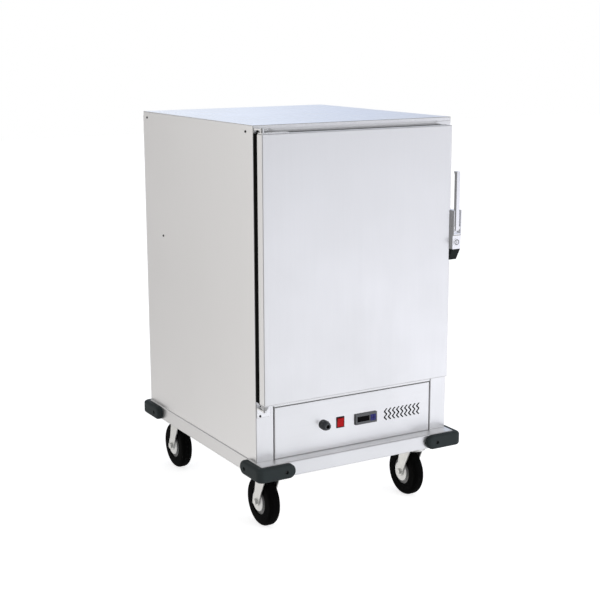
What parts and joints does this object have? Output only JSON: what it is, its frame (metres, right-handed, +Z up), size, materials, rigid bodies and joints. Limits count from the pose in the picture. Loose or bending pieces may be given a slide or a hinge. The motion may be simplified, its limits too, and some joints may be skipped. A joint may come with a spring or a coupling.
{
  "type": "hot cupboard",
  "caption": "Mobile heated holding cabinet with an insulated left-hung door, lever latch, tray runners, fan heating and a control panel, on a bumpered platform with swivel castors.",
  "frame": {"origin": "on the floor under the middle of the object's bounding box", "axes": "+Z up, the door faces -Y, the door's hinges are on the -X side"},
  "size_m": [0.748, 0.8976, 1.255],
  "materials": {
    "cabinet_steel": "satin",
    "liner_steel": "satin",
    "plated_steel": "satin",
    "bumper_rubber": "matte",
    "gasket_rubber": "matte",
    "tyre_rubber": "matte",
    "wheel_plastic": "satin",
    "insulation_wool": "matte",
    "black_plastic": "satin",
    "red_plastic": "gloss",
    "blue_plastic": "satin",
    "grey_plastic": "satin",
    "display_plastic": "gloss",
    "chrome_metal": "polished"
  },
  "bodies": {
    "cabinet": {"base_tray": "cabinet_steel", "castor_rails": "plated_steel", "corner_bumpers": "bumper_rubber", "castor_plates": "plated_steel", "castor_bolts": "plated_steel", "casing_screws": "plated_steel", "side_panel_left": "cabinet_steel", "side_panel_right": "cabinet_steel", "top_panel": "cabinet_steel", "back_panel": "cabinet_steel", "front_rails": "cabinet_steel", "control_panel": "cabinet_steel", "chamber_liner": "liner_steel", "insulation": "insulation_wool", "plant_deck": "liner_steel", "heater_element": "liner_steel", "fan_motor": "plated_steel", "air_cover": "liner_steel", "temperature_probe": "liner_steel", "terminal_box": "grey_plastic", "rack_uprights": "liner_steel", "tray_runners": "liner_steel", "gland_body": "black_plastic", "gland_nut": "black_plastic", "switch_housing": "black_plastic", "controller_body": "grey_plastic", "controller_display": "display_plastic", "hinge_brackets": "cabinet_steel", "hinge_pins": "chrome_metal", "keeper": "plated_steel"},
    "door": {"door_skin": "cabinet_steel", "door_liner": "liner_steel", "door_insulation": "insulation_wool", "door_gasket": "gasket_rubber", "door_hinge_plates": "cabinet_steel", "hinge_bushes": "chrome_metal", "handle_body": "chrome_metal", "handle_nose": "black_plastic", "handle_pins": "plated_steel"},
    "lever": {"handle_lever": "chrome_metal"},
    "latch": {"latch_hook": "plated_steel"},
    "lock": {"lock_cylinder": "chrome_metal"},
    "fan": {"fan_impeller": "liner_steel"},
    "rocker": {"switch_rocker": "red_plastic"},
    "key_1": {"controller_key_1": "blue_plastic"},
    "key_2": {"controller_key_2": "blue_plastic"},
    "key_3": {"controller_key_3": "blue_plastic"},
    "key_4": {"controller_key_4": "blue_plastic"},
    "swivel_front_left": {"castor_fork_front_left": "plated_steel"},
    "wheel_front_left": {"castor_wheel_front_left": "wheel_plastic", "castor_tyre_front_left": "tyre_rubber"},
    "swivel_front_right": {"castor_fork_front_right": "plated_steel"},
    "wheel_front_right": {"castor_wheel_front_right": "wheel_plastic", "castor_tyre_front_right": "tyre_rubber"},
    "swivel_rear_left": {"castor_fork_rear_left": "plated_steel"},
    "wheel_rear_left": {"castor_wheel_rear_left": "wheel_plastic", "castor_tyre_rear_left": "tyre_rubber"},
    "swivel_rear_right": {"castor_fork_rear_right": "plated_steel"},
    "wheel_rear_right": {"castor_wheel_rear_right": "wheel_plastic", "castor_tyre_rear_right": "tyre_rubber"}
  },
  "joints": [
    {"name": "door_hinge", "type": "hinge", "parent": "cabinet", "child": "door", "pos_m": [-0.34, -0.4037, 0.834], "axis": [0, 0, -1], "range_deg": [0, 180]},
    {"name": "lever_pivot", "type": "hinge", "parent": "door", "child": "lever", "pos_m": [0.32525, -0.4362, 0.917], "axis": [1, 0, 0], "range_deg": [0, 35]},
    {"name": "latch_pivot", "type": "hinge", "parent": "door", "child": "latch", "pos_m": [0.328, -0.4042, 0.935], "axis": [1, 0, 0], "range_deg": [-23.1, 0]},
    {"name": "lock_turn", "type": "hinge", "parent": "door", "child": "lock", "pos_m": [0.3255, -0.4448, 0.872], "axis": [0, -1, 0], "range_deg": [0, 90]},
    {"name": "fan_spin", "type": "hinge", "parent": "cabinet", "child": "fan", "pos_m": [0, 0.0153, 0.4315], "axis": [0, 0, 1], "continuous": true},
    {"name": "rocker_tip", "type": "hinge", "parent": "cabinet", "child": "rocker", "pos_m": [-0.053, -0.3612, 0.327], "axis": [-1, 0, 0], "range_deg": [0, 12]},
    {"name": "key_1_press", "type": "slide", "parent": "cabinet", "child": "key_1", "axis": [0, 1, 0], "range_m": [0, 0.001], "stiffness_N_per_m": 300},
    {"name": "key_2_press", "type": "slide", "parent": "cabinet", "child": "key_2", "axis": [0, 1, 0], "range_m": [0, 0.001], "stiffness_N_per_m": 300},
    {"name": "key_3_press", "type": "slide", "parent": "cabinet", "child": "key_3", "axis": [0, 1, 0], "range_m": [0, 0.001], "stiffness_N_per_m": 300},
    {"name": "key_4_press", "type": "slide", "parent": "cabinet", "child": "key_4", "axis": [0, 1, 0], "range_m": [0, 0.001], "stiffness_N_per_m": 300},
    {"name": "swivel_front_left", "type": "hinge", "parent": "cabinet", "child": "swivel_front_left", "pos_m": [-0.271, -0.3102, 0.196], "axis": [0, 0, 1], "continuous": true},
    {"name": "wheel_front_left", "type": "hinge", "parent": "swivel_front_left", "child": "wheel_front_left", "pos_m": [-0.271, -0.2652, 0.08], "axis": [1, 0, 0], "continuous": true},
    {"name": "swivel_front_right", "type": "hinge", "parent": "cabinet", "child": "swivel_front_right", "pos_m": [0.271, -0.3102, 0.196], "axis": [0, 0, 1], "continuous": true},
    {"name": "wheel_front_right", "type": "hinge", "parent": "swivel_front_right", "child": "wheel_front_right", "pos_m": [0.271, -0.2652, 0.08], "axis": [1, 0, 0], "continuous": true},
    {"name": "swivel_rear_left", "type": "hinge", "parent": "cabinet", "child": "swivel_rear_left", "pos_m": [-0.271, 0.3238, 0.196], "axis": [0, 0, 1], "continuous": true},
    {"name": "wheel_rear_left", "type": "hinge", "parent": "swivel_rear_left", "child": "wheel_rear_left", "pos_m": [-0.271, 0.3688, 0.08], "axis": [1, 0, 0], "continuous": true},
    {"name": "swivel_rear_right", "type": "hinge", "parent": "cabinet", "child": "swivel_rear_right", "pos_m": [0.271, 0.3238, 0.196], "axis": [0, 0, 1], "continuous": true},
    {"name": "wheel_rear_right", "type": "hinge", "parent": "swivel_rear_right", "child": "wheel_rear_right", "pos_m": [0.271, 0.3688, 0.08], "axis": [1, 0, 0], "continuous": true}
  ],
  "couplings": [
    {"joint": "latch_pivot", "follows": "lever_pivot", "ratio": -0.66}
  ]
}
